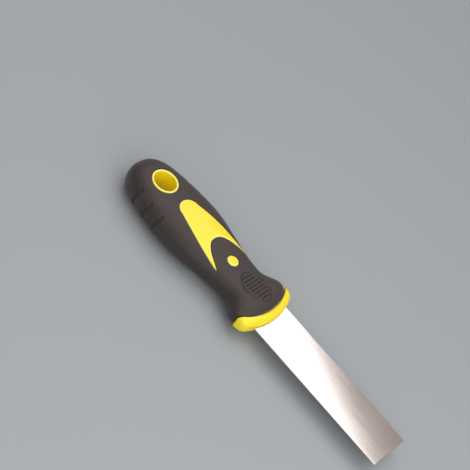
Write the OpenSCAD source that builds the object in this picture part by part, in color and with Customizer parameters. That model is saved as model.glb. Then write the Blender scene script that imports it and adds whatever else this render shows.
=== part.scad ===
// Narrow taping knife: a flexible steel blade in a two-colour moulded handle.
// The origin is on the axis of the hang hole, in the middle plane of the blade.
// +X runs to the working edge and +Z is the blade's normal.

/* [Blade] */
// Width of the blade, which is also the width of the working edge
blade_w = 25.4; // [18:0.1:27]
// Distance from the hang hole's axis to the working edge
edge_x = 168; // [130:1:220]
// Thickness of the steel at the collar and in the handle
blade_t = 0.9; // [0.7:0.1:1.5]
// Thickness of the working edge
edge_t = 0.5; // [0.3:0.05:0.7]
// Length of the tapered grind behind the working edge
grind_l = 62; // [30:1:75]
// Width of the tang inside the handle
tang_w = 13; // [10:0.5:16]
// Distance from the hang hole's axis to the tang's rear end
tang_x = 26; // [20:1:36]

/* [Grip] */
// Distance from the hang hole's axis to the butt end
butt_l = 17.7; // [15:0.1:24]
// Width of the grip across the butt
butt_w = 27.4; // [24:0.2:32]
// Width of the grip at the belly
belly_w = 36; // [32:0.2:42]
// Distance from the hang hole's axis to the belly
belly_x = 22; // [16:1:28]
// Width of the grip at the waist
waist_w = 25.4; // [22:0.2:28]
// Distance from the hang hole's axis to the waist
waist_x = 61; // [56:1:64]
// Width of the grip at the front flare
flare_w = 37.6; // [34:0.2:42]
// Distance from the hang hole's axis to the front flare
flare_x = 74; // [73:0.5:77]
// Thickness of the grip at the butt and belly
grip_t = 17.4; // [15:0.2:22]
// Thickness of the grip at the waist
waist_t = 13.4; // [12:0.2:17]
// Thickness of the grip at the front flare
front_t = 15.6; // [14:0.2:20]
// Thickness of the soft skin over the hard core
skin = 2.2; // [1.6:0.1:2.8]
// How square the grip's section is, where 2 is an ellipse
squareness = 2.9; // [2.2:0.1:3.4]

/* [Front] */
// Distance from the hang hole's axis to the middle of the grip's curved front
front_x = 81; // [80:0.5:84]
// Radius of the grip's curved front, seen from above
front_r = 31.4; // [30:0.2:40]
// Share of the grip's thickness that is left at its rolled front lip
lip_share = 0.76; // [0.7:0.02:0.9]
// Share of the grip's width that is left at its rolled front lip
lip_width_share = 0.95; // [0.92:0.01:1]
// Length over which the front lip rolls down
lip_l = 5; // [3:0.5:8]

/* [Collar] */
// Thickness of the collar from back to front, in the middle
collar_l = 3.8; // [3:0.1:6]
// Height of the collar
collar_h = 9.2; // [8.4:0.1:11]
// Width of the collar from end to end
collar_w = 37.8; // [35:0.2:42]
// Radius of the collar's curved front, seen from above
collar_r = 40; // [36:1:60]
// Radius of the collar's rounded ends
collar_round = 2.6; // [2:0.2:4]
// Radius of the collar's front corners, seen from above
collar_corner = 2.6; // [1.5:0.1:3]

/* [Hang hole] */
// Diameter of the clear hole through the liner
hang_d = 12; // [8:0.2:12.8]
// Wall thickness of the liner
liner_wall = 1.15; // [0.8:0.05:1.6]
// Height by which the liner's rims stand proud of the grip
liner_proud = 0.1; // [0:0.05:0.4]

/* [Inlay] */
// Distance from the hang hole's axis to the inlay's round tail
inlay_tail_x = 12.9; // [11:0.1:16]
// Width of the inlay where its tail starts to round off
inlay_tail_w = 11.7; // [9:0.1:13]
// Distance from the hang hole's axis to the tips of the inlay's prongs
prong_x = 50.8; // [46:0.2:52]
// Distance between the outer edges of the prongs at their tips
prong_w = 22.4; // [20:0.2:23]
// Distance from the hang hole's axis to the bottom of the fork
fork_x = 37; // [32:0.2:40]
// Width of the prongs at their tips
prong_tip_w = 1; // [0.4:0.1:1.2]

/* [Rivets and dots] */
// Distance from the hang hole's axis to the rear rivet and its yellow dots
dot_x = 51; // [50:0.2:54]
// Diameter of the yellow dots
dot_d = 6.1; // [5:0.1:7]
// Distance between the two rivets
rivet_pitch = 17; // [14:0.5:18]
// Diameter of the rivets' shanks
rivet_d = 3.2; // [2.4:0.1:4]
// Diameter of the rivets' heads
rivet_head_d = 5.4; // [5:0.1:7]
// Height of the rivets' heads
rivet_head_h = 1.1; // [0.8:0.1:1.6]

/* [Thumb pads] */
// Length of the thumb pad along the handle
pad_l = 18.8; // [14:0.2:20]
// Width of the thumb pad
pad_w = 14.2; // [11:0.2:16]
// Distance from the hang hole's axis to the thumb pad's middle
pad_x = 67.9; // [66:0.1:69]
// Number of ribs' grooves across the thumb pad
pad_grooves = 8; // [5:1:9]
// Width of each groove and of the pad's incised outline
groove_w = 0.8; // [0.5:0.1:1]
// Depth of the grooves in the thumb pad
groove_depth = 0.6; // [0.3:0.1:0.8]

/* [Finger slots] */
// Number of short slots in each side of the butt
side_slots = 3; // [1:1:4]
// Distance from the hang hole's axis to the rearmost side slot
side_x = -2.6; // [-4:0.2:2]
// Distance between neighbouring side slots
side_pitch = 8.4; // [6:0.1:9]
// Height of each side slot
side_slot_h = 13; // [6:0.5:14]
// Width of each side slot
side_slot_w = 1.8; // [1.2:0.1:2.4]
// Depth of each side slot
side_slot_depth = 0.9; // [0.5:0.1:1.2]

/* [Fits] */
// Clearance between the steel and the plastic around it
steel_fit = 0.05; // [0.02:0.01:0.1]
// Clearance around each yellow insert in the grip
insert_fit = 0.1; // [0.05:0.01:0.2]

/* [Hidden] */
$fn = 48;

// Colours
steel = [0.78, 0.79, 0.80];
yellow = [0.97, 0.87, 0.16];
soft_black = [0.16, 0.15, 0.15];

// Loft resolution
ring_n = 40;
butt_n = 9;
body_n = 22;

// The butt starts to round off here, seen from above and from the side
round_start_w = 2;
round_start_t = -6;
butt_round_w = butt_l + round_start_w;
butt_round_t = butt_l + round_start_t;
butt_power = 2.3;
first_step = 0.02;
nearly_one = 0.9999;
loft_past = 2;
loft_end = front_x + loft_past;

// Section of the grip at the hang hole and at the dots
liner_half = grip_t / 2 + liner_proud;
liner_r = hang_d / 2 + liner_wall;
rim_round = 0.5;

// The core's height where the collar covers its front
core_land = 0.6;
core_front_half = collar_h / 2 - core_land;

// Blade
tang_neck_l = 6;
shoulder_inset = 1;
shoulder_x = flare_x - shoulder_inset;

// Curved front
front_cx = front_x - front_r;
collar_cx = front_x + collar_l - collar_r;
collar_flat = 2;
collar_edge_round = (collar_h - collar_flat) / 2;
corner_y = collar_w / 2 - collar_corner;
corner_proud = 0.3;
corner_x = collar_cx + corner_proud + sqrt(pow(collar_r - collar_corner, 2) - pow(corner_y, 2));

// Inlay outline
inlay_tail_l = 5.4;
inlay_round_x = inlay_tail_x + inlay_tail_l;
inlay_power = 1.8;
tail_power = 2;
fork_power = 2.5;
tail_steps = 6;
inlay_steps = 18;
fork_steps = 12;

// Dots stand on the rivets' heads
dot_r = dot_d / 2;
dot_proud = 0.2;
dot_edge = 0.4;

// Rivets lie just below the core's faces
rivet_sunk = 0.3;
rivet_xs = [dot_x, dot_x + rivet_pitch];
function rivet_half(x) = half_t(x, skin) - rivet_sunk;

// Thumb pad
pad_steps = 36;
pad_inset = 0.9;

// Everything that cuts reaches this far past the surface
past = 1;
big = 120;

// Smooth step from a to b as t goes from 0 to 1
function blend(a, b, t) = a + (b - a) * (1 - cos(180 * min(max(t, 0), 1))) / 2;

// Plan half-width of the grip before its butt is rounded
function side_half(x) =
    x < belly_x ? blend(butt_w, belly_w, (x + butt_l) / (belly_x + butt_l)) / 2
    : x < waist_x ? blend(belly_w, waist_w, (x - belly_x) / (waist_x - belly_x)) / 2
    : blend(waist_w, flare_w, (x - waist_x) / (flare_x - waist_x)) / 2;

// Side half-thickness of the grip, or of the core inside a skin
function flat_half(x, inset) =
    let (
        full = x < waist_x ? blend(grip_t, waist_t, (x - belly_x) / (waist_x - belly_x))
            : blend(waist_t, front_t, (x - waist_x) / (flare_x - waist_x)),
        outer = full / 2
    )
    inset == 0 ? outer
    : blend(outer - inset, core_front_half, (x - waist_x) / (flare_x - waist_x));

// Rounding of the butt: 1 along the body and 0 at the very end
function butt_curve(x, length, inset) =
    let (start = length - butt_l, u = (start - x) / (length - inset))
    u <= 0 ? 1 : pow(1 - pow(min(u, nearly_one), butt_power), 1 / butt_power);

function half_w(x, inset) = (side_half(x) - inset) * butt_curve(x, butt_round_w, inset);
function half_t(x, inset) = flat_half(x, inset) * butt_curve(x, butt_round_t, inset);

// The outer skin rolls in to a share of its size, by its distance behind the curved front
function lip_roll(x, y, inset, share) =
    let (behind = max(front_r - norm([x - front_cx, y]), 0))
    inset > 0 || x < waist_x || behind > lip_l ? 1
    : 1 - (1 - share) * pow(1 - behind / lip_l, 2);

// One rounded oblong section across the handle
function section_ring(x, inset) = [
    for (i = [0:ring_n - 1])
        let (
            a = 360 * (i + 0.5) / ring_n,
            y = half_w(x, inset) * sign(cos(a)) * pow(abs(cos(a)), 2 / squareness),
            z = half_t(x, inset) * sign(sin(a)) * pow(abs(sin(a)), 2 / squareness)
        )
        [x, y * lip_roll(x, y, inset, lip_width_share), z * lip_roll(x, y, inset, lip_share)]
];

// Stations along the handle, closer together where the butt rounds off
function stations(inset) = concat(
    [for (i = [0:butt_n - 1])
        first_step + inset - butt_l + butt_round_t * (1 - cos(90 * i / butt_n))],
    [for (i = [0:body_n])
        inset + butt_round_t - butt_l + (loft_end - inset - butt_round_t + butt_l) * i / body_n]
);

// The handle's rounded form, drawn in by a skin
module handle_form(inset) {
    xs = stations(inset);
    last = len(xs) - 1;
    points = [for (x = xs) each section_ring(x, inset)];
    sides = [
        for (s = [0:last - 1], i = [0:ring_n - 1])
            let (
                a = s * ring_n + i,
                b = s * ring_n + (i + 1) % ring_n
            )
            each [[a, b + ring_n, b], [a, a + ring_n, b + ring_n]]
    ];
    butt_cap = [[for (i = [0:ring_n - 1]) i]];
    front_cap = [[for (i = [ring_n - 1:-1:0]) last * ring_n + i]];
    polyhedron(points, concat(sides, butt_cap, front_cap));
}

// Everything in front of the grip's curved front
module front_cut() {
    difference() {
        translate([waist_x, -big / 2, -big / 2])
            cube([big, big, big]);
        translate([front_cx, 0, -big])
            cylinder(r = front_r, h = 2 * big, $fn = 96);
    }
}

// Half-space above the blade's middle plane, or below it when side is -1
module half_space(side) {
    translate([-big / 2, -big / 2, side > 0 ? 0 : -big])
        cube([2 * big, big, big]);
}

// Outer edge of the inlay, rounded at its tail
function inlay_half(x) =
    let (
        u = (prong_x - x) / (prong_x - inlay_round_x),
        open = prong_w / 2 - (prong_w - inlay_tail_w) / 2 * pow(u, inlay_power),
        v = (inlay_round_x - x) / (inlay_round_x - inlay_tail_x)
    )
    v <= 0 ? open : open * pow(max(1 - pow(v, tail_power), 0), 1 / tail_power);

// Fork between the prongs, blunt at its bottom
function fork_at(y) = fork_x + (prong_x - fork_x) * pow(2 * abs(y) / prong_w, fork_power);

module inlay_outline() {
    tail = [for (i = [0:tail_steps]) inlay_tail_x + inlay_tail_l * (1 - cos(90 * i / tail_steps))];
    flank = [for (i = [1:inlay_steps]) inlay_round_x + (prong_x - inlay_round_x) * i / inlay_steps];
    fork_half = prong_w / 2 - prong_tip_w;
    upper = [for (x = concat(tail, flank)) [x, inlay_half(x)]];
    lower = [for (i = [len(upper) - 1:-1:1]) [upper[i].x, -upper[i].y]];
    fork = [for (i = [-fork_steps:fork_steps])
        let (y = -fork_half * i / fork_steps)
        [fork_at(y), y]];
    polygon(concat(upper, fork, lower));
}

// Upright prism over the inlay, on one side of the blade
module inlay_prism(side, grow) {
    translate([0, 0, side > 0 ? 0 : -big])
        linear_extrude(height = big)
            offset(delta = grow)
                inlay_outline();
}

// Round hole across the handle at x
module cross_bore(x, r) {
    translate([x, 0, -big / 2])
        cylinder(r = r, h = big);
}

// Rivets with two flat heads each, grown by a clearance
module rivet_bodies(grow) {
    for (x = rivet_xs)
        translate([x, 0, 0]) {
            cylinder(d = rivet_d + 2 * grow, h = 2 * rivet_half(x), center = true);
            for (side = [-1, 1])
                translate([0, 0, side * (rivet_half(x) - rivet_head_h / 2)])
                    cylinder(d = rivet_head_d + 2 * grow, h = rivet_head_h + 2 * grow, center = true);
        }
}

module blade() {
    tang_half = tang_w / 2;
    color(steel)
        difference() {
            intersection() {
                linear_extrude(height = 2 * blade_t, center = true)
                    union() {
                        polygon([
                            [shoulder_x, -blade_w / 2], [edge_x, -blade_w / 2],
                            [edge_x, blade_w / 2], [shoulder_x, blade_w / 2],
                            [shoulder_x - tang_neck_l, tang_half], [tang_x + tang_half, tang_half],
                            [tang_x + tang_half, -tang_half], [shoulder_x - tang_neck_l, -tang_half]
                        ]);
                        translate([tang_x + tang_half, 0])
                            circle(r = tang_half);
                    }
                rotate([90, 0, 0])
                    linear_extrude(height = 2 * blade_w, center = true)
                        polygon([
                            [tang_x, -blade_t / 2], [edge_x - grind_l, -blade_t / 2],
                            [edge_x, -edge_t / 2], [edge_x, edge_t / 2],
                            [edge_x - grind_l, blade_t / 2], [tang_x, blade_t / 2]
                        ]);
            }
            for (x = rivet_xs)
                cross_bore(x, rivet_d / 2 + steel_fit);
        }
}

// Pocket for the tang and the blade's root
module tang_pocket() {
    pocket_half = tang_w / 2 + steel_fit;
    linear_extrude(height = blade_t + 2 * steel_fit, center = true)
        union() {
            polygon([
                [shoulder_x - steel_fit, -blade_w / 2 - steel_fit],
                [edge_x, -blade_w / 2 - steel_fit],
                [edge_x, blade_w / 2 + steel_fit],
                [shoulder_x - steel_fit, blade_w / 2 + steel_fit],
                [shoulder_x - tang_neck_l - steel_fit, pocket_half],
                [tang_x + pocket_half, pocket_half],
                [tang_x + pocket_half, -pocket_half],
                [shoulder_x - tang_neck_l - steel_fit, -pocket_half]
            ]);
            translate([tang_x + pocket_half - steel_fit, 0])
                circle(r = pocket_half);
        }
}

// One half of the hard core that clamps the tang
module core_half(side) {
    color(yellow)
        difference() {
            handle_form(skin);
            half_space(-side);
            front_cut();
            tang_pocket();
            cross_bore(0, liner_r + insert_fit);
            rivet_bodies(steel_fit);
            // Counterbores from the core's face down to the rivets' heads
            for (x = rivet_xs)
                translate([x, 0, side * (rivet_half(x) + big / 2)])
                    cylinder(d = rivet_head_d + 2 * steel_fit, h = big, center = true);
        }
}

module core_top() {
    core_half(1);
}

module core_bottom() {
    core_half(-1);
}

module tang_rivets() {
    color(steel)
        rivet_bodies(0);
}

// Section of the collar's round front edge, turned about its own centre
module collar_disc() {
    rotate_extrude($fn = 96)
        union() {
            translate([0, -collar_h / 2])
                square([collar_r - collar_edge_round, collar_h]);
            translate([0, collar_edge_round - collar_h / 2])
                square([collar_r, collar_h - 2 * collar_edge_round]);
            for (side = [-1, 1])
                translate([collar_r - collar_edge_round, side * (collar_h / 2 - collar_edge_round)])
                    circle(r = collar_edge_round);
        }
}

// Rounded oblong that limits the collar's ends, drawn along X
module collar_ends() {
    round_y = collar_w / 2 - collar_round;
    round_z = collar_h / 2 - collar_round;
    rotate([90, 0, 90])
        linear_extrude(height = big)
            union() {
                square([2 * round_y, collar_h], center = true);
                square([collar_w, 2 * round_z], center = true);
                for (sy = [-1, 1], sz = [-1, 1])
                    translate([sy * round_y, sz * round_z])
                        circle(r = collar_round);
            }
}

// Plan that rounds the collar's two front corners
module collar_plan() {
    linear_extrude(height = big, center = true)
        union() {
            translate([waist_x, -corner_y])
                square([big, 2 * corner_y]);
            translate([waist_x, -collar_w / 2])
                square([corner_x - waist_x, collar_w]);
            for (side = [-1, 1])
                translate([corner_x, side * corner_y])
                    circle(r = collar_corner);
        }
}

module collar() {
    color(yellow)
        difference() {
            intersection() {
                translate([collar_cx, 0, 0])
                    collar_disc();
                collar_ends();
                collar_plan();
            }
            translate([front_cx, 0, -big / 2])
                cylinder(r = front_r, h = big, $fn = 96);
            tang_pocket();
        }
}

module hang_liner() {
    r_in = hang_d / 2;
    color(yellow)
        rotate_extrude($fn = 64)
            union() {
                translate([r_in, rim_round - liner_half])
                    square([liner_wall, 2 * (liner_half - rim_round)]);
                translate([r_in + rim_round, -liner_half])
                    square([liner_wall - 2 * rim_round, 2 * liner_half]);
                for (r = [r_in + rim_round, r_in + liner_wall - rim_round], side = [-1, 1])
                    translate([r, side * (liner_half - rim_round)])
                        circle(r = rim_round, $fn = 24);
            }
}

// Ellipse outline of the thumb pad, drawn in by an inset
function pad_ring(inset) = [
    for (i = [0:pad_steps - 1])
        let (a = 360 * i / pad_steps)
        [(pad_l / 2 - inset) * cos(a), (pad_w / 2 - inset) * sin(a)]
];

// Incised outline and cross grooves of one thumb pad
module pad_cuts(side) {
    back_z = half_t(pad_x - pad_l / 2, 0);
    front_z = half_t(pad_x + pad_l / 2, 0);
    floor_z = (back_z + front_z) / 2 - groove_depth;
    tilt = atan((front_z - back_z) / pad_l);
    step = (pad_l - 2 * pad_inset) / (pad_grooves + 1);
    translate([pad_x, 0, side * floor_z])
        rotate([0, -side * tilt, 0])
            translate([0, 0, side > 0 ? 0 : -big])
                linear_extrude(height = big)
                    union() {
                        difference() {
                            polygon(pad_ring(0));
                            polygon(pad_ring(groove_w));
                        }
                        for (i = [1:pad_grooves])
                            let (
                                x = step * i + pad_inset - pad_l / 2,
                                half = (pad_w / 2 - 2 * pad_inset) * sqrt(1 - pow(2 * x / pad_l, 2))
                            )
                            translate([x - groove_w / 2, -half])
                                square([groove_w, 2 * half]);
                    }
}

// Short upright slots in both sides of the butt
module side_slot_cuts() {
    slot_r = side_slot_w / 2;
    for (side = [-1, 1], i = [0:side_slots - 1]) {
        x = side_x + side_pitch * i;
        wall = half_w(x, 0);
        translate([x, side * (wall - side_slot_depth + slot_r), 0])
            cylinder(r = slot_r, h = side_slot_h, center = true, $fn = 24);
        translate([x - slot_r, side > 0 ? wall - side_slot_depth + slot_r : -wall - past, -side_slot_h / 2])
            cube([side_slot_w, past + side_slot_depth - slot_r, side_slot_h]);
    }
}

module grip() {
    color(soft_black)
        difference() {
            handle_form(0);
            handle_form(skin);
            front_cut();
            cross_bore(0, liner_r + insert_fit);
            cross_bore(dot_x, dot_r + insert_fit);
            for (side = [-1, 1]) {
                inlay_prism(side, insert_fit);
                pad_cuts(side);
            }
            side_slot_cuts();
        }
}

// Yellow insert that fills the window in the grip
module inlay(side) {
    color(yellow)
        intersection() {
            difference() {
                handle_form(0);
                handle_form(skin);
            }
            inlay_prism(side, 0);
        }
}

module inlay_top() {
    inlay(1);
}

module inlay_bottom() {
    inlay(-1);
}

// Yellow cap over a rivet's head, with a rounded edge
module dot(side) {
    low = rivet_half(dot_x) + steel_fit;
    seat = half_t(dot_x, skin) + steel_fit;
    high = half_t(dot_x, 0) + dot_proud;
    color(yellow)
        translate([dot_x, 0, 0])
            mirror([0, 0, side > 0 ? 0 : 1])
                rotate_extrude()
                    union() {
                        translate([0, low])
                            square([rivet_head_d / 2, seat - low]);
                        translate([0, seat])
                            square([dot_r, high - dot_edge - seat]);
                        translate([0, seat])
                            square([dot_r - dot_edge, high - seat]);
                        translate([dot_r - dot_edge, high - dot_edge])
                            circle(r = dot_edge, $fn = 24);
                    }
}

module dot_top() {
    dot(1);
}

module dot_bottom() {
    dot(-1);
}

blade();
core_top();
core_bottom();
tang_rivets();
collar();
hang_liner();
grip();
inlay_top();
inlay_bottom();
dot_top();
dot_bottom();
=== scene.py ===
import math
import bmesh
import bpy
from mathutils import Matrix, Vector


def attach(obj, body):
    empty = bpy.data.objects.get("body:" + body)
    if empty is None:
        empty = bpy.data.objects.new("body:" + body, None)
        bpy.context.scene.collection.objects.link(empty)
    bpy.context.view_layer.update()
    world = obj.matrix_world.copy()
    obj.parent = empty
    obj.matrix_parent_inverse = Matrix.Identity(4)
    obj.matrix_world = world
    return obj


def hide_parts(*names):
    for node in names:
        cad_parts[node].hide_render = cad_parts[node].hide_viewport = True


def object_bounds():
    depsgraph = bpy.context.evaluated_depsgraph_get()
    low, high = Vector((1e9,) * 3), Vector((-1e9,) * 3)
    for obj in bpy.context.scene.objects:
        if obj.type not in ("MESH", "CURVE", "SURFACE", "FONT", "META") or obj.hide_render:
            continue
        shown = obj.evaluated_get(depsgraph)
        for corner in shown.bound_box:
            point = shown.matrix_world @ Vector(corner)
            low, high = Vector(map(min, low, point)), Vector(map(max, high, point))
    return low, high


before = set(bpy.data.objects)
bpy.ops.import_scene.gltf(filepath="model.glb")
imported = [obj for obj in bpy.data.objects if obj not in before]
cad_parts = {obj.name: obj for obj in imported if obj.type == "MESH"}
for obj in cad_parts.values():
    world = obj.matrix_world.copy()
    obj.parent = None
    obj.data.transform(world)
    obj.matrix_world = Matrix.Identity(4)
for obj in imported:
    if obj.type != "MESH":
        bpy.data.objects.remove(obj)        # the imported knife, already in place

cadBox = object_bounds()
mm = 0.001
weldGap, fineGap, tinyGap = 0.002, 0.0005, 0.0001       # points nearer than this are welded, in mm
print("frame loaded:", len(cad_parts), "nodes")


# small helpers for working with one object at a time

def startFresh():
    if bpy.context.mode != 'OBJECT':
        bpy.ops.object.mode_set(mode='OBJECT')
    bpy.ops.object.select_all(action='DESELECT')


def pickOnly(piece):
    startFresh()
    piece.select_set(True)
    bpy.context.view_layer.objects.active = piece


def nameNew(name):
    piece = bpy.context.object
    piece.name = name
    piece.data.name = name
    return piece


def paintRimHighlight(piece, rimHighlights):           # how much painted highlight each point gets on the rims, 0 to 1, for the finish to read
    piece.data.attributes.new("rim", 'FLOAT', 'POINT').data.foreach_set("value", rimHighlights)


def markRims(piece, rule):
    paintRimHighlight(piece, [rule(vertex.co / mm) for vertex in piece.data.vertices])


def fromPoints(name, points, edges=(), faces=()):       # points in mm
    mesh = bpy.data.meshes.new(name)
    mesh.from_pydata([(x * mm, y * mm, z * mm) for x, y, z in points], list(edges), list(faces))
    piece = bpy.data.objects.new(name, mesh)
    bpy.context.collection.objects.link(piece)
    return piece


def editAll(piece):
    pickOnly(piece)
    bpy.ops.object.mode_set(mode='EDIT')
    bpy.ops.mesh.select_all(action='SELECT')


def editSome(piece, kind, keep):       # edit mode with only the faces or edges that pass the test
    editAll(piece)
    bpy.ops.mesh.select_mode(type=kind)
    bpy.ops.mesh.select_all(action='DESELECT')
    cage = bmesh.from_edit_mesh(piece.data)
    for part in cage.faces if kind == 'FACE' else cage.edges:
        part.select_set(keep(part))
    bmesh.update_edit_mesh(piece.data)


def reshape(piece, rule):           # every vertex goes where the rule puts it, in mm
    for vertex in piece.data.vertices:
        vertex.co = Vector(rule(vertex.co / mm)) * mm
    piece.data.update()


def cleanUp(piece, gap=weldGap):      # weld doubles, then turn every face outwards
    editAll(piece)
    bpy.ops.mesh.remove_doubles(threshold=gap * mm)
    bpy.ops.mesh.normals_make_consistent(inside=False)
    bpy.ops.object.mode_set(mode='OBJECT')


def duplicate(piece, name):
    pickOnly(piece)
    bpy.ops.object.duplicate(linked=False)
    return nameNew(name)


def turnOver(piece, name):          # the same shape on the underside
    copy = duplicate(piece, name)
    editAll(copy)
    bpy.ops.transform.resize(value=(1, 1, -1), center_override=(0, 0, 0))
    bpy.ops.mesh.flip_normals()
    bpy.ops.object.mode_set(mode='OBJECT')
    return copy


def smooth(piece, degrees):
    pickOnly(piece)
    bpy.ops.object.shade_smooth_by_angle(angle=math.radians(degrees))


def carve(piece, tools, how='DIFFERENCE'):       # one boolean with all the tools together
    startFresh()
    for tool in tools:
        tool.select_set(True)
    bpy.context.view_layer.objects.active = tools[0]
    if len(tools) > 1:
        bpy.ops.object.join()
    tool = bpy.context.object
    pickOnly(piece)
    cut = piece.modifiers.new("cut", 'BOOLEAN')
    cut.operation = how
    cut.solver = 'EXACT'
    cut.object = tool
    bpy.ops.object.modifier_apply(modifier="cut")
    bpy.data.objects.remove(tool)


def upright(name, outline, low, high):       # prism over a closed outline of (x, y)
    prism = fromPoints(name, [(x, y, low) for x, y in outline], faces=[tuple(range(len(outline)))])
    editAll(prism)
    bpy.ops.mesh.extrude_region_move(TRANSFORM_OT_translate={"value": (0, 0, (high - low) * mm)})
    bpy.ops.mesh.select_all(action='SELECT')
    bpy.ops.mesh.normals_make_consistent(inside=False)
    bpy.ops.object.mode_set(mode='OBJECT')
    return prism


def bore(name, x, radius, low, high, sides=96):
    startFresh()
    bpy.ops.mesh.primitive_cylinder_add(
        vertices=sides, radius=radius * mm, depth=(high - low) * mm,
        location=(x * mm, 0, (low + high) / 2 * mm))
    bpy.ops.object.transform_apply(location=True, rotation=True, scale=True)
    return nameNew(name)


def turned(name, profile, x, steps):       # (radius, height) profile spun about the upright line at x
    count = len(profile)
    edges = [(i, i + 1) for i in range(count - 1)]
    if profile[0][0] > 0 and profile[-1][0] > 0:
        edges.append((count - 1, 0))
    piece = fromPoints(name, [(x + r, 0, z) for r, z in profile], edges)
    editAll(piece)
    bpy.ops.mesh.spin(steps=steps, angle=2 * math.pi, center=(x * mm, 0, 0), axis=(0, 0, 1))
    bpy.ops.object.mode_set(mode='OBJECT')
    cleanUp(piece)
    return piece


def arc(centre, radius, start, end, steps):       # (x, y) points on a round stretch, angles in degrees
    turns = [math.radians(start + (end - start) * i / steps) for i in range(steps + 1)]
    return [(centre[0] + radius * math.cos(a), centre[1] + radius * math.sin(a)) for a in turns]


def ease(start, end, t):            # smooth step
    return start + (end - start) * (1 - math.cos(math.pi * min(max(t, 0), 1))) / 2


def valley(distance, width):        # 1 in the middle of a groove, 0 at its edge and beyond
    return 0 if distance >= width / 2 else math.cos(math.pi * distance / width) ** 2


# the handle's form: rounded oblong sections along X, all sizes in mm from the hang hole's axis

handle = {
    "buttL": 17.7, "buttW": 27.4,
    "bellyX": 22, "bellyW": 36,
    "waistX": 61, "waistW": 25.4,
    "flareX": 74, "flareW": 37.6,
    "thick": 17.4, "waistThick": 13.4, "frontThick": 15.6,
    "skin": 2.2,                    # soft layer over the core
    "squareness": 2.9,              # 2 gives oval sections, more gives squarer ones
    "cornerShape": 0.62,            # bevel profile that gives that squareness
    "buttPower": 2.3,
    "lastShare": 0.9999, "tipGap": 0.02,        # these keep the first ring from closing to a point
    "startPlan": 2, "startSide": -6,        # where the butt starts to round off
    "frontX": 81, "frontR": 31.4, "pastFront": 2,
    "lipL": 5, "lipDrop": 0.24, "lipPull": 0.05,
    "cornerSteps": 24, "buttRings": 18, "ringPitch": 0.9,
}
frontCx = handle["frontX"] - handle["frontR"]


def buttCurve(x, start):            # 1 along the body, 0 at the very end
    u = min(max((start - x) / (handle["buttL"] + start), 0), handle["lastShare"])
    return (1 - u ** handle["buttPower"]) ** (1 / handle["buttPower"])


def halfW(x):
    h = handle
    if x < h["bellyX"]:
        side = ease(h["buttW"], h["bellyW"], (x + h["buttL"]) / (h["bellyX"] + h["buttL"]))
    elif x < h["waistX"]:
        side = ease(h["bellyW"], h["waistW"], (x - h["bellyX"]) / (h["waistX"] - h["bellyX"]))
    else:
        side = ease(h["waistW"], h["flareW"], (x - h["waistX"]) / (h["flareX"] - h["waistX"]))
    return side / 2 * buttCurve(x, h["startPlan"])


def halfT(x):
    h = handle
    if x < h["waistX"]:
        flat = ease(h["thick"], h["waistThick"], (x - h["bellyX"]) / (h["waistX"] - h["bellyX"]))
    else:
        flat = ease(h["waistThick"], h["frontThick"], (x - h["waistX"]) / (h["flareX"] - h["waistX"]))
    return flat / 2 * buttCurve(x, h["startSide"])


def skinZ(x, y):                    # height of the upper skin
    power = handle["squareness"]
    return halfT(x) * max(1 - (abs(y) / halfW(x)) ** power, 0) ** (1 / power)


def skinNormal(x, y, step=0.05):
    slopeX = (skinZ(x + step, y) - skinZ(x - step, y)) / (2 * step)
    slopeY = (skinZ(x, y + step) - skinZ(x, y - step)) / (2 * step)
    return Vector((-slopeX, -slopeY, 1)).normalized()


def lipRoll(point):                 # the soft skin rolls in where it meets the collar
    x, y, z = point
    behind = max(handle["frontR"] - math.hypot(x - frontCx, y), 0) / handle["lipL"]
    if x < handle["waistX"] or behind > 1:
        return point
    roll = (1 - behind) ** 2
    return x, y * (1 - handle["lipPull"] * roll), z * (1 - handle["lipDrop"] * roll)


def buildForm(name):
    h = handle
    buttRun = h["buttL"] + h["startSide"]
    stations = [h["tipGap"] - h["buttL"] + buttRun * (1 - math.cos(math.pi / 2 * i / h["buttRings"]))
                for i in range(h["buttRings"])]
    count = math.ceil((h["frontX"] + h["pastFront"] - h["startSide"]) / h["ringPitch"])
    stations += [h["startSide"] + h["ringPitch"] * i for i in range(count + 1)]
    startFresh()
    bpy.ops.mesh.primitive_plane_add(
        size=2 * mm, location=(stations[0] * mm, 0, 0), rotation=(0, math.pi / 2, 0))
    bpy.ops.object.transform_apply(location=True, rotation=True, scale=True)
    form = nameNew(name)
    editAll(form)
    bpy.ops.mesh.bevel(
        offset_type='PERCENT', offset_pct=50, segments=h["cornerSteps"],
        profile=h["cornerShape"], affect='VERTICES')
    bpy.ops.mesh.select_all(action='SELECT')
    bpy.ops.mesh.remove_doubles(threshold=tinyGap * mm)
    w, t = 1, 1                     # half sizes of the starting square
    for i, x in enumerate(stations):
        if i > 0:
            step = (x - stations[i - 1]) * mm
            bpy.ops.mesh.extrude_region_move(TRANSFORM_OT_translate={"value": (step, 0, 0)})
        bpy.ops.transform.resize(
            value=(1, halfW(x) / w, halfT(x) / t), center_override=(x * mm, 0, 0))
        w, t = halfW(x), halfT(x)
    bpy.ops.object.mode_set(mode='OBJECT')
    reshape(form, lipRoll)
    cleanUp(form, tinyGap)
    return form


handleForm = buildForm("handleForm")
print("handle form:", len(handleForm.data.vertices), "points")


# soft black grip: a skin over the core, with moulded thumb pads and finger slots

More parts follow.
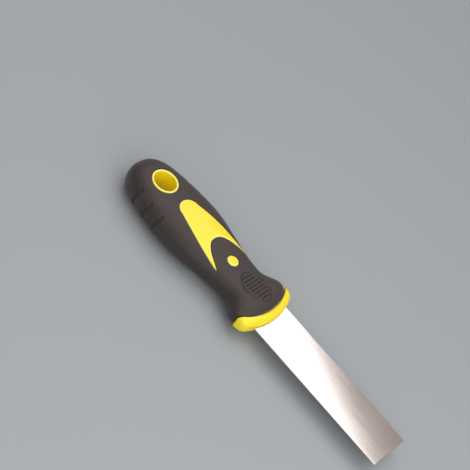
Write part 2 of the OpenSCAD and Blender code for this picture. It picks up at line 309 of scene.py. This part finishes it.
grip = {
    "padX": 67.9, "padL": 18.8, "padW": 14.2, "padBars": 8,
    "grooveW": 1.1, "grooveDepth": 0.6, "outlineDepth": 0.4, "padInset": 0.9,
    "slotX": -2.6, "slotPitch": 8.4, "slots": 3, "slotH": 13, "slotW": 2.4, "slotDepth": 1.1,
    "seam": 0.34,                   # gap round the hard inserts
    "frontSeam": 0.4,               # gap behind the collar
    "padLow": 5, "padEnd": 1.3,     # pads lie above this height, and end at this share of their size
    "slotPower": 0.6,               # below 1 gives steeper slot sides
    "padMargin": 1, "slotEndMargin": 1, "slotSideMargin": 0.7,      # finer skin this far round each
    "fineCuts": 5,                  # subdivision where the skin carries detail
    "frontTurn": 85, "frontSteps": 96, "cutPast": 20,
    "smooth": 32,
}


def padDip(x, y):                   # depth of the thumb pad's grooves at a point
    g = grip
    u, v = x - g["padX"], y
    a = (g["padL"] - g["grooveW"]) / 2
    b = (g["padW"] - g["grooveW"]) / 2
    q = math.hypot(u / a, v / b)
    if q > g["padEnd"]:
        return 0
    slope = math.hypot(u / a ** 2, v / b ** 2) / max(q, 0.001)
    dip = valley(abs(q - 1) / slope if slope > 0 else a, g["grooveW"]) * g["outlineDepth"]
    pitch = (g["padL"] - 2 * g["padInset"]) / (g["padBars"] + 1)
    for i in range(1, g["padBars"] + 1):
        barX = pitch * i + g["padInset"] - g["padL"] / 2
        reach = (g["padW"] / 2 - 2 * g["padInset"]) * math.sqrt(1 - (2 * barX / g["padL"]) ** 2)
        past = max(abs(v) - reach + g["grooveW"] / 2, 0)
        dip = max(dip, valley(math.hypot(u - barX, past), g["grooveW"]) * g["grooveDepth"])
    return dip


def toSlot(x):                      # distance to the nearest slot's middle line
    g = grip
    return min(abs(x - g["slotX"] - g["slotPitch"] * i) for i in range(g["slots"]))


def slotDip(x, z):
    g = grip
    reach = (g["slotH"] - g["slotW"]) / 2
    away = math.hypot(toSlot(x), max(abs(z) - reach, 0))
    return valley(away, g["slotW"]) ** g["slotPower"] * g["slotDepth"]


def sunkInto(x, y, z, depth):       # a point moved into the section, square to its outline
    power = handle["squareness"] - 1
    slopeY = math.copysign((abs(y) / halfW(x)) ** power / halfW(x), y)
    slopeZ = math.copysign((abs(z) / halfT(x)) ** power / halfT(x), z)
    run = math.hypot(slopeY, slopeZ)
    return x, y - depth * slopeY / run, z - depth * slopeZ / run


def mouldSkin(point):
    x, y, z = point
    if abs(z) > grip["padLow"] and padDip(x, y) > 0:
        return x, y, z - math.copysign(padDip(x, y), z)
    if abs(z) < grip["slotH"] / 2 and slotDip(x, z) > 0:
        return sunkInto(x, y, z, slotDip(x, z))
    return point


def needsDetail(face):
    x, y, z = face.calc_center_median() / mm
    g = grip
    reachX, reachY = g["padL"] / 2 + g["padMargin"], g["padW"] / 2 + g["padMargin"]
    if abs(z) > g["padLow"] and math.hypot((x - g["padX"]) / reachX, y / reachY) < 1:
        return True
    return abs(z) < g["slotH"] / 2 + g["slotEndMargin"] and toSlot(x) < g["slotW"] / 2 + g["slotSideMargin"]


def buildGrip():
    softGrip = duplicate(handleForm, "softGrip")
    editSome(softGrip, 'FACE', needsDetail)
    bpy.ops.mesh.subdivide(number_cuts=grip["fineCuts"], smoothness=0)
    bpy.ops.object.mode_set(mode='OBJECT')
    reshape(softGrip, mouldSkin)
    return softGrip


softGrip = buildGrip()
print("grip skin:", len(softGrip.data.vertices), "points")


# yellow inlay: a tail and two prongs, set into the grip above and below

inlay = {
    "tailX": 12.9, "tailW": 11.7, "tailL": 5.4,
    "prongX": 50.8, "prongW": 22.4, "tipW": 1.5, "forkX": 37,
    "flankPower": 1.8, "tailPower": 2, "forkPower": 2.5,
    # the rims of the yellow pieces get a pale painted highlight, which fades out over a width past the rim
    "proud": 0.1, "rim": 0.45, "highlightFade": 0.4, "depth": 1.6,
    "rimShare": 0.4, "highlightFadeShare": 0.08,     # most of the width that the rim and the fade of its painted highlight take
    "tailSteps": 16, "flankSteps": 46, "rimSteps": 5, "acrossSteps": 12, "smooth": 50,
}


def inlayHalf(x):                   # half width of the inlay's outer edge
    n = inlay
    roundX = n["tailX"] + n["tailL"]
    u = min((n["prongX"] - x) / (n["prongX"] - roundX), 1)
    side = n["prongW"] / 2 - (n["prongW"] - n["tailW"]) / 2 * max(u, 0) ** n["flankPower"]
    v = max((roundX - x) / n["tailL"], 0)
    return side * max(1 - v ** n["tailPower"], 0) ** (1 / n["tailPower"])


def forkAt(y):                      # bottom of the gap between the prongs
    n = inlay
    return n["forkX"] + (n["prongX"] - n["forkX"]) * (2 * abs(y) / n["prongW"]) ** n["forkPower"]


def inlayEdges():                   # matching points on the outer edge and on the fork, one side
    n = inlay
    roundX = n["tailX"] + n["tailL"]
    xs = [n["tailX"] + n["tailL"] * (1 - math.cos(math.pi / 2 * i / n["tailSteps"]))
          for i in range(n["tailSteps"])]
    xs += [roundX + (n["prongX"] - roundX) * i / n["flankSteps"] for i in range(n["flankSteps"] + 1)]
    forkHalf = n["prongW"] / 2 - n["tipW"]
    outer = [(x, inlayHalf(x)) for x in xs]
    forkYs = [forkHalf * i / (len(xs) - 1) for i in range(len(xs))]
    return outer, [(forkAt(y), y) for y in forkYs]


def grownOutline(points, grow):     # the outline moved square to itself by a small gap
    result = []
    for i, (x, y) in enumerate(points):
        ax, ay = points[i - 1]
        bx, by = points[(i + 1) % len(points)]
        run = math.hypot(bx - ax, by - ay)
        result.append((x + grow * (by - ay) / run, y - grow * (bx - ax) / run))
    return result


def buildInlay(name):
    n = inlay
    outer, inner = inlayEdges()
    outer = [(x, -y) for x, y in reversed(outer[1:])] + outer
    inner = [(x, -y) for x, y in reversed(inner[1:])] + inner
    # each point also gets how much of the rim's painted highlight it carries
    rows, rimHighlights = [], []
    for (ax, ay), (bx, by) in zip(outer, inner):
        run = math.hypot(bx - ax, by - ay)
        rim = min(n["rim"], run * n["rimShare"])
        turnsIn = [math.pi / 2 * i / n["rimSteps"] for i in range(n["rimSteps"] + 1)]
        near = [(rim * (1 - math.cos(a)), rim * (1 - math.sin(a)), 1) for a in turnsIn]
        near.append((rim + min(n["highlightFade"], run * n["highlightFadeShare"]), 0, 0))
        last = near[-1][0]
        middle = run - 2 * last
        flat = [(last + middle * i / n["acrossSteps"], 0, 0) for i in range(1, n["acrossSteps"])]
        far = [(run - d, drop, highlightFade) for d, drop, highlightFade in reversed(near)]
        row = []
        for d, drop, highlightFade in near + flat + far:
            x, y = ax + (bx - ax) * d / run, ay + (by - ay) * d / run
            row.append(Vector((x, y, skinZ(x, y))) + skinNormal(x, y) * (n["proud"] - drop))
            rimHighlights.append(highlightFade)
        rows.append(row)
    width = len(rows[0])
    points = [p for row in rows for p in row]
    faces = [(i * width + j, i * width + j + 1, (i + 1) * width + j + 1, (i + 1) * width + j)
             for i in range(len(rows) - 1) for j in range(width - 1)]
    piece = fromPoints(name, points, faces=faces)
    paintRimHighlight(piece, rimHighlights)
    editSome(piece, 'EDGE', lambda edge: edge.is_boundary)
    bpy.ops.mesh.extrude_edges_move(TRANSFORM_OT_translate={"value": (0, 0, -n["depth"] * mm)})
    bpy.ops.mesh.edge_face_add()
    bpy.ops.object.mode_set(mode='OBJECT')
    cleanUp(piece, fineGap)
    smooth(piece, n["smooth"])
    return piece


outerEdge, forkEdge = inlayEdges()
inlayOutline = (outerEdge + list(reversed(forkEdge))
                + [(x, -y) for x, y in forkEdge[1:]] + [(x, -y) for x, y in reversed(outerEdge[1:])])
inlayTop = buildInlay("inlayTop")
inlayBottom = turnOver(inlayTop, "inlayBottom")
print("inlays:", len(inlayTop.data.vertices), "points each")


# yellow dots over the rear rivet, and the tube that lines the hang hole

dots = {
    "x": 51, "d": 6.1, "proud": 0.1, "dome": 0.18, "edge": 0.4, "depth": 1.8,
    "rimMargin": 0.01,              # points this near the rim count as on it
    "edgeSteps": 6, "domeSteps": 8, "steps": 64, "smooth": 50,
}
liner = {
    "holeD": 12, "wall": 1.15, "half": 8.8, "rim": 0.5,
    "rimSteps": 6, "steps": 96, "smooth": 50,
}


def buildDot(name):
    d = dots
    r = d["d"] / 2
    flatR = r - d["edge"]
    high = halfT(d["x"]) + d["proud"]
    edge = arc((flatR, high - d["edge"]), d["edge"], 0, 90, d["edgeSteps"])
    shares = [1 - i / d["domeSteps"] for i in range(1, d["domeSteps"] + 1)]
    dome = [(flatR * share, high + d["dome"] * (1 - share ** 2)) for share in shares]
    profile = [(0, high - d["depth"]), (r, high - d["depth"])] + edge + dome
    piece = turned(name, profile, d["x"], d["steps"])

    def onRim(point):
        outside = math.hypot(point.x - d["x"], point.y) > flatR - d["rimMargin"]
        return 1 if point.z > high - d["edge"] and outside else 0

    # the dot's rounded rim gets a painted highlight
    markRims(piece, onRim)
    smooth(piece, d["smooth"])
    return piece


def buildLiner(name):
    n = liner
    inside, outside = n["holeD"] / 2, n["holeD"] / 2 + n["wall"]
    top = n["half"] - n["rim"]
    rim = arc((outside - n["rim"], top), n["rim"], 0, 90, n["rimSteps"])
    rim += arc((inside + n["rim"], top), n["rim"], 90, 180, n["rimSteps"])
    piece = turned(name, rim + [(r, -z) for r, z in reversed(rim)], 0, n["steps"])
    # the liner's rounded rims get a painted highlight
    markRims(piece, lambda point: 1 if abs(point.z) > top else 0)
    smooth(piece, n["smooth"])
    return piece


dotTop = buildDot("dotTop")
dotBottom = turnOver(dotTop, "dotBottom")
hangLiner = buildLiner("hangLiner")


# the grip's cavity and pockets

def pocketGrip():
    g = grip
    h = handle
    room = duplicate(handleForm, "coreRoom")
    editAll(room)
    bpy.ops.transform.shrink_fatten(value=-h["skin"] * mm)
    bpy.ops.object.mode_set(mode='OBJECT')
    turn, pastX = g["frontTurn"], h["frontX"] + g["cutPast"]
    front = arc((frontCx, 0), h["frontR"] - g["frontSeam"], -turn, turn, g["frontSteps"])
    front += [(pastX, h["frontR"]), (pastX, -h["frontR"])]
    tools = [
        upright("frontCut", front, -h["thick"], h["thick"]),
        bore("linerHole", 0, liner["holeD"] / 2 + liner["wall"] + g["seam"], -h["thick"], h["thick"]),
        bore("dotHole", dots["x"], dots["d"] / 2 + g["seam"], -h["thick"], h["thick"]),
        upright("inlayWindow", grownOutline(inlayOutline, -g["seam"]), -h["thick"], h["thick"]),
    ]
    carve(softGrip, [room])
    carve(softGrip, tools)
    cleanUp(softGrip, fineGap)
    smooth(softGrip, g["smooth"])


pocketGrip()
bpy.data.objects.remove(handleForm)
print("grip with pockets:", len(softGrip.data.vertices), "points")


# yellow collar: a round-edged bar across the front, bent round the grip's arc

collar = {
    "l": 3.8, "w": 37.8, "h": 9.2, "outerR": 40,
    "edge": 3.6, "backEdge": 0.5, "endRound": 2.6, "cornerRound": 2.6,
    "slotGap": 0.3, "slotL": 36.8,          # the slot's cutter is longer than the collar
    "endGap": 0.01,                         # the end stations stop just short of the full width
    "stations": 72, "edgeSteps": 10, "backSteps": 4, "smooth": 40,
}
blade = {
    "w": 25.4, "t": 0.9, "tipT": 0.5, "edgeX": 168, "grindL": 62,
    "tangW": 13, "tangX": 26, "neckL": 6, "shoulderX": 73,
    "chamfer": 0.22, "chamferSteps": 2,
    "chamferFrom": 1, "sharp": 1, "level": 0.3,     # mm past the shoulder, radians, mm of rise
    "tangSteps": 24, "smooth": 12,
}


def collarStation(y):               # its back, front and half height at y
    c = collar
    outerCx = handle["frontX"] + c["l"] - c["outerR"]
    back = frontCx + math.sqrt(handle["frontR"] ** 2 - y ** 2)
    front = outerCx + math.sqrt(c["outerR"] ** 2 - y ** 2)
    toEnd = c["w"] / 2 - abs(y)
    inEnd = max(c["endRound"] - toEnd, 0)
    half = c["h"] / 2 - c["endRound"] + math.sqrt(max(c["endRound"] ** 2 - inEnd ** 2, 0))
    inCorner = min(max(c["cornerRound"] - toEnd, 0), c["cornerRound"])
    drop = c["cornerRound"] - math.sqrt(c["cornerRound"] ** 2 - inCorner ** 2)
    return back, front - drop, half


def buildCollar(name):
    c = collar
    outX = handle["frontX"] + c["l"]
    half = c["h"] / 2
    ring = arc((outX - c["edge"], half - c["edge"]), c["edge"], 0, 90, c["edgeSteps"])
    backCentre = (handle["frontX"] + c["backEdge"], half - c["backEdge"])
    ring += arc(backCentre, c["backEdge"], 90, 180, c["backSteps"])
    ring += [(x, -z) for x, z in reversed(ring)]
    turns = [math.pi / 2 * (2 * i / c["stations"] - 1) for i in range(c["stations"] + 1)]
    ys = [math.sin(a) * (c["w"] / 2 - c["endGap"]) for a in turns]
    backMid, frontMid, halfMid = collarStation(0)
    bar = fromPoints(name, [(x, ys[0], z) for x, z in ring], faces=[tuple(range(len(ring)))])
    editAll(bar)
    for before, y in zip(ys, ys[1:]):
        bpy.ops.mesh.extrude_region_move(TRANSFORM_OT_translate={"value": (0, (y - before) * mm, 0)})
    bpy.ops.object.mode_set(mode='OBJECT')

    def bend(point):
        x, y, z = point
        back, front, high = collarStation(y)
        return back + (x - backMid) * (front - back) / (frontMid - backMid), y, z * high / halfMid

    reshape(bar, bend)
    cleanUp(bar, fineGap)
    startFresh()
    slotW, slotT = blade["w"] + 2 * c["slotGap"], blade["t"] + 2 * c["slotGap"]
    bpy.ops.mesh.primitive_cube_add(size=mm, location=(outX * mm, 0, 0))
    bpy.context.object.scale = (c["slotL"], slotW, slotT)
    bpy.ops.object.transform_apply(location=True, rotation=True, scale=True)
    carve(bar, [bpy.context.object])
    smooth(bar, c["smooth"])
    return bar


yellowCollar = buildCollar("yellowCollar")
print("collar:", len(yellowCollar.data.vertices), "points")


# polished blade with its tang, ground thinner towards the working edge

def buildBlade(name):
    b = blade
    outline = [
        (b["shoulderX"], -b["w"] / 2), (b["edgeX"], -b["w"] / 2), (b["edgeX"], b["w"] / 2),
        (b["shoulderX"], b["w"] / 2), (b["shoulderX"] - b["neckL"], b["tangW"] / 2)]
    outline += arc((b["tangX"] + b["tangW"] / 2, 0), b["tangW"] / 2, 90, 270, b["tangSteps"])
    outline += [(b["shoulderX"] - b["neckL"], -b["tangW"] / 2)]
    steel = upright(name, outline, -b["t"] / 2, b["t"] / 2)
    grindX = b["edgeX"] - b["grindL"]
    for cutX in (grindX, b["shoulderX"] + b["neckL"]):
        editAll(steel)
        bpy.ops.mesh.bisect(plane_co=(cutX * mm, 0, 0), plane_no=(1, 0, 0))
        bpy.ops.object.mode_set(mode='OBJECT')

    def grind(point):
        x, y, z = point
        along = max((x - grindX) / b["grindL"], 0)
        return x, y, z * (1 + (b["tipT"] / b["t"] - 1) * along)

    reshape(steel, grind)

    def alongEdge(edge):
        if len(edge.link_faces) != 2 or edge.calc_face_angle(0) < b["sharp"]:
            return False
        start, end = edge.verts[0].co, edge.verts[1].co
        middle = (start + end) / 2 / mm
        return middle.x > b["shoulderX"] + b["chamferFrom"] and abs(start.z - end.z) < b["level"] * mm

    editSome(steel, 'EDGE', alongEdge)
    bpy.ops.mesh.bevel(
        offset=b["chamfer"] * mm, segments=b["chamferSteps"], profile=0.5,
        affect='EDGES', clamp_overlap=False)
    bpy.ops.object.mode_set(mode='OBJECT')
    cleanUp(steel, fineGap)
    smooth(steel, b["smooth"])
    return steel


polishedBlade = buildBlade("polishedBlade")
print("blade:", len(polishedBlade.data.vertices), "points")


# shader sums written as plain expressions

class Wire:                         # one socket of a material
    def __init__(self, finish, socket):
        self.finish = finish
        self.socket = socket

    def sum(self, operation, first, second):
        return self.finish.add('ShaderNodeMath', {"operation": operation}, {0: first, 1: second})

    def __add__(self, other):
        return self.sum('ADD', self, other)

    def __radd__(self, other):
        return self.sum('ADD', other, self)

    def __mul__(self, other):
        return self.sum('MULTIPLY', self, other)

    def __rmul__(self, other):
        return self.sum('MULTIPLY', other, self)


class Finish:                       # a material and the nodes that it is made of
    def __init__(self, name, **constants):
        self.material = bpy.data.materials.new(name)
        self.material.use_nodes = True
        self.nodes = self.material.node_tree.nodes
        self.links = self.material.node_tree.links
        self.shader = self.nodes["Principled BSDF"]
        for socketName, value in constants.items():
            self.shader.inputs[socketName.replace("_", " ")].default_value = value

    def add(self, kind, settings, sockets, out=0):
        node = self.nodes.new(kind)
        for key, value in settings.items():
            setattr(node, key, value)
        for key, value in sockets.items():
            self.feed(node.inputs[key], value)
        return Wire(self, node.outputs[out])

    def feed(self, socket, value):
        if isinstance(value, Wire):
            self.links.new(value.socket, socket)
        else:
            socket.default_value = value

    def place(self, stretch):       # the piece's own coordinates, stretched
        where = self.add('ShaderNodeTexCoord', {}, {}, "Object")
        return self.add('ShaderNodeMapping', {}, {"Vector": where, "Scale": stretch})

    def noise(self, scale, detail, rough=0.55, stretch=(1, 1, 1)):
        return self.add('ShaderNodeTexNoise', {}, {
            "Vector": self.place(stretch), "Scale": scale, "Detail": detail, "Roughness": rough})

    def between(self, value, low, high):       # 0 below low, 1 above high, smooth between
        return self.add('ShaderNodeMapRange', {"interpolation_type": 'SMOOTHSTEP'}, {
            "Value": value, "From Min": low, "From Max": high})

    def mix(self, share, first, second):
        return self.add('ShaderNodeMix', {"data_type": 'RGBA'}, {0: share, 6: first, 7: second}, 2)

    def bump(self, height, depth, strength, under=None):
        sockets = {"Height": height, "Distance": depth, "Strength": strength}
        if under:
            sockets["Normal"] = under
        return self.add('ShaderNodeBump', {}, sockets)

    def set(self, **wires):
        for socketName, value in wires.items():
            self.feed(self.shader.inputs[socketName.replace("_", " ")], value)
        return self.material


def softBlack():                    # warm black rubber with a fine moulded texture
    f = Finish("softBlack", Specular_IOR_Level=0.5, Sheen_Weight=0.15, Sheen_Roughness=0.5)
    cloud = f.noise(70, 4)
    grain = f.noise(2600, 2, 0.6)
    speck = f.between(f.noise(900, 2), 0.62, 0.72)
    scuff = f.between(f.noise(140, 5, 0.65, (0.5, 1.6, 1)), 0.56, 0.78)
    colour = f.mix(cloud, (0.021, 0.0145, 0.0145, 1), (0.038, 0.0265, 0.0250, 1))
    colour = f.mix(scuff * 0.35, colour, (0.066, 0.052, 0.047, 1))
    colour = f.mix(speck * 0.25, colour, (0.09, 0.078, 0.072, 1))
    rough = 0.44 + cloud * 0.12 + scuff * 0.08 + grain * 0.05
    relief = f.bump(grain, 0.00006, 0.5, f.bump(cloud, 0.0005, 0.4))
    return f.set(Base_Color=colour, Roughness=rough, Normal=relief)


def brightYellow():                 # hard glossy plastic
    f = Finish("brightYellow", Specular_IOR_Level=0.5, Coat_Roughness=0.18)
    cloud = f.noise(90, 3)
    fine = f.noise(1500, 3, 0.6)
    scratch = f.between(f.noise(420, 4, 0.7, (0.12, 2.2, 1)), 0.66, 0.74)
    rim = f.add('ShaderNodeAttribute', {"attribute_name": "rim"}, {}, "Fac")
    colour = f.mix(cloud, (0.95, 0.755, 0.009, 1), (0.99, 0.835, 0.018, 1))
    colour = f.mix(scratch * 0.3, colour, (0.99, 0.92, 0.20, 1))
    colour = f.mix(f.between(fine, 0.55, 0.8) * 0.15, colour, (0.86, 0.66, 0.01, 1))
    # painted highlight: the marked rims are painted a paler yellow
    colour = f.mix(rim * 0.6, colour, (1.0, 0.96, 0.30, 1))
    rough = 0.32 + cloud * 0.08 + scratch * 0.15
    relief = f.bump(fine, 0.00004, 0.3, f.bump(cloud, 0.0003, 0.2))
    return f.set(Base_Color=colour, Roughness=rough, Normal=relief, Coat_Weight=0.35 + cloud * 0.1)


def polishedSteel():                # mirror finish with faint lengthwise polishing lines
    f = Finish("polishedSteel", Metallic=1.0)
    lines = f.noise(1.0, 4, 0.6, (26, 1700, 400))
    broad = f.noise(1.0, 3, 0.5, (22, 160, 40))
    haze = f.noise(55, 4)
    marks = f.between(f.noise(1.0, 4, 0.65, (60, 900, 100)), 0.66, 0.73)
    colour = f.mix(haze, (0.76, 0.72, 0.70, 1), (0.84, 0.81, 0.79, 1))
    colour = f.mix(f.between(lines, 0.42, 0.68) * 0.35, colour, (0.66, 0.62, 0.60, 1))
    colour = f.mix(marks * 0.3, colour, (0.60, 0.56, 0.54, 1))
    rough = 0.055 + haze * 0.03 + lines * 0.04 + marks * 0.05
    relief = f.bump(lines, 0.000005, 0.6, f.bump(broad, 0.00002, 0.3))
    return f.set(Base_Color=colour, Roughness=rough, Normal=relief)


def brushedSteel():                 # rivets inside the handle
    f = Finish("brushedSteel", Metallic=1.0)
    lines = f.noise(1.0, 3, 0.6, (3000, 200, 200))
    haze = f.noise(300, 3)
    colour = f.mix(haze, (0.50, 0.49, 0.48, 1), (0.66, 0.65, 0.64, 1))
    return f.set(Base_Color=colour, Roughness=0.34 + lines * 0.12, Normal=f.bump(lines, 0.00001, 0.4))


def paleGrey():                     # seamless studio floor
    f = Finish("paleGrey", Specular_IOR_Level=0.15)
    cloud = f.noise(3, 2)
    fine = f.noise(900, 2)
    colour = f.mix(cloud, (0.350, 0.388, 0.410, 1), (0.365, 0.403, 0.425, 1))
    return f.set(Base_Color=colour, Roughness=0.6 + fine * 0.05)


softFinish, yellowFinish = softBlack(), brightYellow()
bladeFinish, rivetFinish = polishedSteel(), brushedSteel()
print("finishes made")


# every new piece gets its finish and its body, and the CAD node that it stands for is hidden

def dress(piece, finish, node):
    piece.data.materials.clear()
    piece.data.materials.append(finish)
    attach(piece, "root")
    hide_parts(node)


dress(softGrip, softFinish, "grip")
dress(inlayTop, yellowFinish, "inlay_top")
dress(inlayBottom, yellowFinish, "inlay_bottom")
dress(dotTop, yellowFinish, "dot_top")
dress(dotBottom, yellowFinish, "dot_bottom")
dress(hangLiner, yellowFinish, "hang_liner")
dress(yellowCollar, yellowFinish, "collar")
dress(polishedBlade, bladeFinish, "blade")
for nodeName, finish in (
        ("core_top", yellowFinish), ("core_bottom", yellowFinish), ("tang_rivets", rivetFinish)):
    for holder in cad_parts[nodeName].material_slots:
        holder.material = finish
print("pieces dressed")


# floor, studio light and camera

studio = {
    "floorSize": 6,
    "worldLow": (0.24, 0.25, 0.26, 1), "worldHigh": (0.41, 0.33, 0.305, 1), "worldStop": 0.8,
    "mirrorFarX": 0.103, "mirrorNearX": 0.164,      # where the blade's sides mirror the big box's edge
    "boxDistance": 0.7, "boxW": 1.1, "boxH": 0.9, "boxPower": 4.6,
    "sideSize": 0.8,
    "sides": {                      # softer boxes: where each stands, and its power in watts
        "leftBox": ((-0.5, -0.7, 0.7), 0.7),
        "frontBox": ((0.46, -0.38, 0.33), 3.3),
    },
}
view = {                            # metres, in the handle's frame
    "eye": (0.2012, -0.6144, 0.6184),
    "right": (0.6540, 0.6073, 0.4511), "up": (-0.7347, 0.3677, 0.5701), "back": (0.1804, -0.7043, 0.6866),
    "lens": 140.87, "sensor": 36,
}


def layFloor():
    startFresh()
    bpy.ops.mesh.primitive_plane_add(size=studio["floorSize"], location=(0, 0, cadBox[0].z))
    floor = nameNew("floor")
    bpy.ops.object.transform_apply(location=True, rotation=True, scale=True)
    floor.data.materials.append(paleGrey())


def softbox(name, centre, right, back, w, h, power):       # back points away from where it shines
    lamp = bpy.data.lights.new(name, 'AREA')
    lamp.shape = 'RECTANGLE'
    lamp.size, lamp.size_y = w, h
    lamp.energy = power
    box = bpy.data.objects.new(name, lamp)
    bpy.context.collection.objects.link(box)
    turn = Matrix((right, back.cross(right), back)).transposed().to_4x4()
    box.matrix_world = Matrix.Translation(centre) @ turn


def mirrored(point):                # where a ray from the camera goes on to from the blade's flat
    ray = (point - Vector(view["eye"])).normalized()
    return Vector((ray.x, ray.y, -ray.z))


def lightWorld():
    world = bpy.data.worlds.new("studio")
    bpy.context.scene.world = world
    world.use_nodes = True
    nodes, links = world.node_tree.nodes, world.node_tree.links
    where = nodes.new('ShaderNodeTexCoord')
    split = nodes.new('ShaderNodeSeparateXYZ')
    ramp = nodes.new('ShaderNodeValToRGB')
    ramp.color_ramp.elements[0].color = studio["worldLow"]
    ramp.color_ramp.elements[1].color = studio["worldHigh"]
    ramp.color_ramp.elements[1].position = studio["worldStop"]
    links.new(where.outputs["Generated"], split.inputs[0])
    links.new(split.outputs["Z"], ramp.inputs[0])
    links.new(ramp.outputs[0], nodes["Background"].inputs["Color"])


def lightBoxes():                   # the big softbox's edge is mirrored aslant across the blade
    s = studio
    corner = blade["w"] / 2 * mm
    far, near = Vector((s["mirrorFarX"], corner, 0)), Vector((s["mirrorNearX"], -corner, 0))
    farAway = far + mirrored(far) * s["boxDistance"]
    nearAway = near + mirrored(near) * s["boxDistance"]
    right = (nearAway - farAway).normalized()
    back = (mirrored(far) + mirrored(near)).normalized()
    back = (back - right * back.dot(right)).normalized()
    centre = (farAway + nearAway) / 2 - back.cross(right) * s["boxH"] / 2
    softbox("keyBox", centre, right, back, s["boxW"], s["boxH"], s["boxPower"])
    for name, (place, power) in s["sides"].items():
        away = Vector(place).normalized()
        level = Vector((0, 0, 1)).cross(away).normalized()
        softbox(name, place, level, away, s["sideSize"], s["sideSize"], power)


def setCamera():
    lens = bpy.data.cameras.new("camera")
    lens.lens, lens.sensor_width = view["lens"], view["sensor"]
    lens.sensor_fit = 'HORIZONTAL'
    camera = bpy.data.objects.new("camera", lens)
    bpy.context.collection.objects.link(camera)
    turn = Matrix((view["right"], view["up"], view["back"])).transposed().to_4x4()
    camera.matrix_world = Matrix.Translation(view["eye"]) @ turn
    bpy.context.scene.camera = camera


layFloor()
lightWorld()
lightBoxes()
setCamera()
bpy.context.scene.view_settings.view_transform = 'Standard'
print("studio set")
